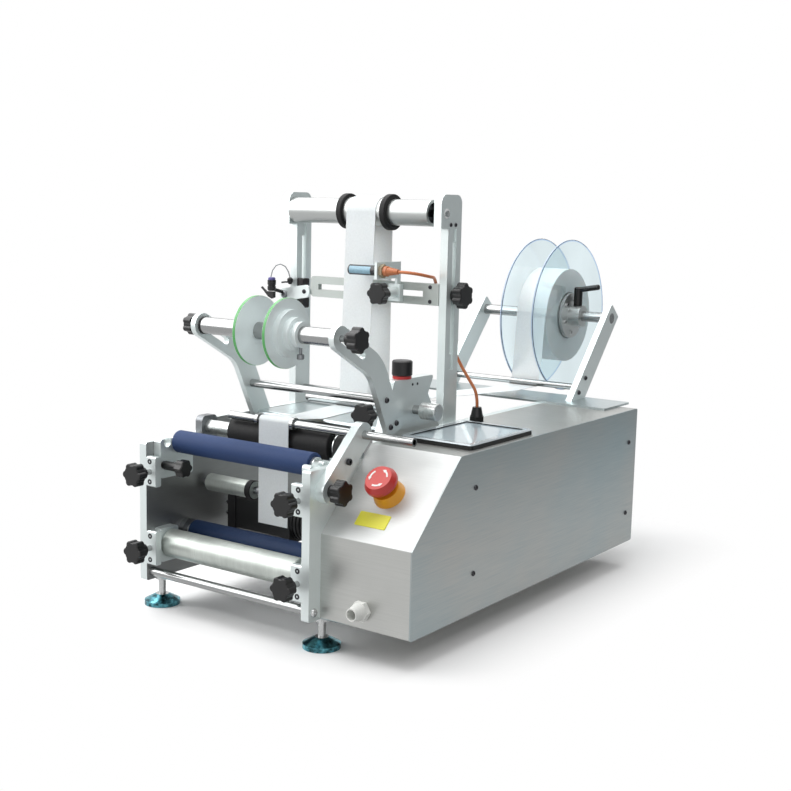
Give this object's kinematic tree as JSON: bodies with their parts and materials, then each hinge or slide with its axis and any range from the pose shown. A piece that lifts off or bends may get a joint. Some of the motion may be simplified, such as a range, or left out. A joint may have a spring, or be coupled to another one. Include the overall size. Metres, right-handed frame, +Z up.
{
  "type": "bottle labelling machine",
  "caption": "Bench machine that rolls round bottles on rollers while a label strip, drawn from a reel over a mast and a peel bar, is pressed onto them.",
  "frame": {"origin": "on the floor, under the middle of the machine's footprint", "axes": "+X right towards the control box, +Y back towards the supply reel, +Z up"},
  "size_m": [0.441, 0.884, 0.558],
  "materials": {
    "anodised_plate": "pale satin anodised",
    "box_steel": "brushed stainless",
    "cover_steel": "brushed, bluish grey",
    "chrome": "polished",
    "bright_aluminium": "fine turned",
    "upper_blue": "matt blue rubber",
    "lower_blue": "matt dark blue rubber",
    "black_rubber": "matt black rubber",
    "black_plastic": "moulded, glossy black",
    "motor_black": "satin black paint",
    "dark_steel": "machined steel",
    "screen_glass": "dark glass",
    "stop_yellow": "orange-yellow plastic",
    "stop_red": "moulded red",
    "gland_plastic": "nylon",
    "case_plastic": "instrument casing",
    "cable_orange": "orange sheath",
    "sensor_blue": "metal tube with a pale blue band",
    "paper": "backing paper with blank labels",
    "clear_disc": "clear plastic disc",
    "hub_plastic": "machined hub",
    "foot_steel": "plated foot"
  },
  "bodies": {
    "frame": {"left_side_plate": "anodised_plate", "right_side_plate": "anodised_plate", "tie_bars": "chrome", "label_platform": "box_steel", "levelling_feet": "foot_steel", "control_box": "box_steel", "box_side_cover": "cover_steel", "touch_screen_frame": "black_plastic", "touch_screen_glass": "screen_glass", "emergency_stop_body": "stop_yellow", "cable_glands": "gland_plastic", "control_electronics": "case_plastic", "timing_belt": "black_rubber", "drive_motor": "motor_black", "motor_bracket": "anodised_plate", "roller_bearings": "dark_steel", "adjuster_blocks": "anodised_plate", "mast_posts": "anodised_plate", "mast_top_brackets": "anodised_plate", "fixed_shafts": "chrome", "sensor_cable": "cable_orange", "rewind_arms": "anodised_plate", "reel_arms": "anodised_plate", "reel_base_plate": "box_steel", "label_web": "paper", "peel_arm": "anodised_plate", "peel_bar": "chrome"},
    "stop_button": {"emergency_stop_head": "stop_red"},
    "drive_roller": {"drive_roller_shaft": "bright_aluminium", "drive_roller_sleeve": "lower_blue"},
    "traction_roller": {"traction_roller_shaft": "bright_aluminium", "traction_roller_sleeve": "black_rubber"},
    "motor_shaft": {"motor_pulley": "bright_aluminium"},
    "inner_guide": {"inner_guide_roller": "bright_aluminium"},
    "upper_carriage": {"roller_combs": "anodised_plate"},
    "upper_roller": {"upper_roller_core": "bright_aluminium", "upper_roller_sleeve": "upper_blue"},
    "support_carriage": {"support_slides": "anodised_plate"},
    "support_roller": {"support_roller": "bright_aluminium"},
    "upper_left_screw": {"upper_left_knob": "black_plastic"},
    "upper_right_screw": {"upper_right_knob": "black_plastic"},
    "lower_left_screw": {"lower_left_knob": "black_plastic"},
    "lower_right_screw": {"lower_right_knob": "black_plastic"},
    "guide_roller": {"guide_roller_tube": "bright_aluminium", "guide_collars": "black_rubber"},
    "crossbar": {"sensor_crossbar": "anodised_plate"},
    "crossbar_clamp": {"crossbar_knob": "black_plastic"},
    "sensor_carriage": {"sensor_carrier": "anodised_plate", "label_sensor": "sensor_blue"},
    "sensor_clamp": {"sensor_knob": "black_plastic"},
    "rewind_reel": {"rewind_tube": "chrome", "rewind_discs": "bright_aluminium"},
    "rewind_rod": {"rewind_clamp": "black_plastic"},
    "supply_reel": {"reel_discs": "clear_disc", "reel_hub": "hub_plastic", "label_roll": "paper"},
    "reel_lever": {"reel_clamp_lever": "black_plastic"},
    "peel_screw": {"peel_knob": "black_plastic"},
    "brake_screw": {"brake_knob": "black_plastic"},
    "tension_screw": {"tension_knob": "black_plastic"}
  },
  "joints": [
    {"name": "emergency_stop", "type": "slide", "parent": "frame", "child": "stop_button", "axis": [0, 0.6963, -0.7178], "range_m": [0, 0.005], "stiffness_N_per_m": 1500},
    {"name": "drive_roller_turn", "type": "hinge", "parent": "frame", "child": "drive_roller", "pos_m": [-0.058, -0.335, 0.097], "axis": [1, 0, 0], "continuous": true},
    {"name": "traction_roller_turn", "type": "hinge", "parent": "frame", "child": "traction_roller", "pos_m": [-0.058, -0.302, 0.237], "axis": [1, 0, 0], "continuous": true},
    {"name": "motor_turn", "type": "hinge", "parent": "frame", "child": "motor_shaft", "pos_m": [0.0485, -0.253, 0.116], "axis": [1, 0, 0], "continuous": true},
    {"name": "inner_guide_turn", "type": "hinge", "parent": "frame", "child": "inner_guide", "pos_m": [-0.058, -0.297, 0.1575], "axis": [1, 0, 0], "continuous": true},
    {"name": "upper_left_screw_turn", "type": "hinge", "parent": "frame", "child": "upper_left_screw", "pos_m": [-0.1842, -0.409, 0.189], "axis": [0, 1, 0], "range_deg": [-2017, 865]},
    {"name": "upper_right_screw_turn", "type": "hinge", "parent": "frame", "child": "upper_right_screw", "pos_m": [0.0682, -0.409, 0.189], "axis": [0, 1, 0], "range_deg": [-2017, 865]},
    {"name": "upper_carriage_slide", "type": "slide", "parent": "frame", "child": "upper_carriage", "axis": [0, 1, 0], "range_m": [-0.003, 0.007]},
    {"name": "upper_roller_turn", "type": "hinge", "parent": "upper_carriage", "child": "upper_roller", "pos_m": [-0.058, -0.365, 0.225], "axis": [1, 0, 0], "continuous": true},
    {"name": "lower_left_screw_turn", "type": "hinge", "parent": "frame", "child": "lower_left_screw", "pos_m": [-0.1842, -0.409, 0.086], "axis": [0, 1, 0], "range_deg": [-2017, 865]},
    {"name": "lower_right_screw_turn", "type": "hinge", "parent": "frame", "child": "lower_right_screw", "pos_m": [0.0682, -0.409, 0.086], "axis": [0, 1, 0], "range_deg": [-2017, 865]},
    {"name": "support_carriage_slide", "type": "slide", "parent": "frame", "child": "support_carriage", "axis": [0, 1, 0], "range_m": [-0.003, 0.007]},
    {"name": "support_roller_turn", "type": "hinge", "parent": "support_carriage", "child": "support_roller", "pos_m": [-0.058, -0.377, 0.088], "axis": [1, 0, 0], "continuous": true},
    {"name": "guide_roller_turn", "type": "hinge", "parent": "frame", "child": "guide_roller", "pos_m": [-0.058, -0.11, 0.5325], "axis": [1, 0, 0], "continuous": true},
    {"name": "crossbar_slide", "type": "slide", "parent": "frame", "child": "crossbar", "axis": [0, 0, 1], "range_m": [-0.06, 0.04], "deforming": ["sensor_cable"]},
    {"name": "crossbar_clamp_turn", "type": "hinge", "parent": "crossbar", "child": "crossbar_clamp", "pos_m": [0.0745, -0.0885, 0.422], "axis": [1, 0, 0], "range_deg": [-360, 360]},
    {"name": "sensor_slide", "type": "slide", "parent": "crossbar", "child": "sensor_carriage", "axis": [1, 0, 0], "range_m": [-0.004, 0.036]},
    {"name": "sensor_clamp_turn", "type": "hinge", "parent": "sensor_carriage", "child": "sensor_clamp", "pos_m": [-0.0065, -0.1143, 0.422], "axis": [0, 1, 0], "range_deg": [-360, 360]},
    {"name": "rewind_reel_turn", "type": "hinge", "parent": "frame", "child": "rewind_reel", "pos_m": [0.0065, -0.363, 0.383], "axis": [1, 0, 0], "continuous": true},
    {"name": "rewind_rod_turn", "type": "hinge", "parent": "frame", "child": "rewind_rod", "pos_m": [0.0945, -0.363, 0.383], "axis": [1, 0, 0], "range_deg": [-360, 360]},
    {"name": "supply_reel_turn", "type": "hinge", "parent": "frame", "child": "supply_reel", "pos_m": [0.0135, 0.318, 0.369], "axis": [1, 0, 0], "continuous": true},
    {"name": "reel_lever_turn", "type": "hinge", "parent": "supply_reel", "child": "reel_lever", "pos_m": [0.0585, 0.318, 0.369], "axis": [0, 0, 1], "range_deg": [-90, 90]},
    {"name": "peel_screw_turn", "type": "hinge", "parent": "frame", "child": "peel_screw", "pos_m": [0.0865, -0.384, 0.201], "axis": [1, 0, 0], "range_deg": [-360, 360]},
    {"name": "brake_screw_turn", "type": "hinge", "parent": "frame", "child": "brake_screw", "pos_m": [0.0805, -0.25484, 0.28], "axis": [0, 1, 0], "range_deg": [-720, 720]},
    {"name": "tension_screw_turn", "type": "hinge", "parent": "frame", "child": "tension_screw", "pos_m": [0.0805, -0.215, 0.319], "axis": [0, 0, 1], "range_deg": [-720, 720]}
  ],
  "couplings": [
    {"joint": "motor_turn", "follows": "drive_roller_turn", "ratio": 1},
    {"joint": "traction_roller_turn", "follows": "drive_roller_turn", "ratio": 1},
    {"joint": "upper_left_screw_turn", "follows": "upper_carriage_slide", "rad_per_m": -5026.5},
    {"joint": "upper_right_screw_turn", "follows": "upper_carriage_slide", "rad_per_m": -5026.5},
    {"joint": "lower_left_screw_turn", "follows": "support_carriage_slide", "rad_per_m": -5026.5},
    {"joint": "lower_right_screw_turn", "follows": "support_carriage_slide", "rad_per_m": -5026.5}
  ]
}
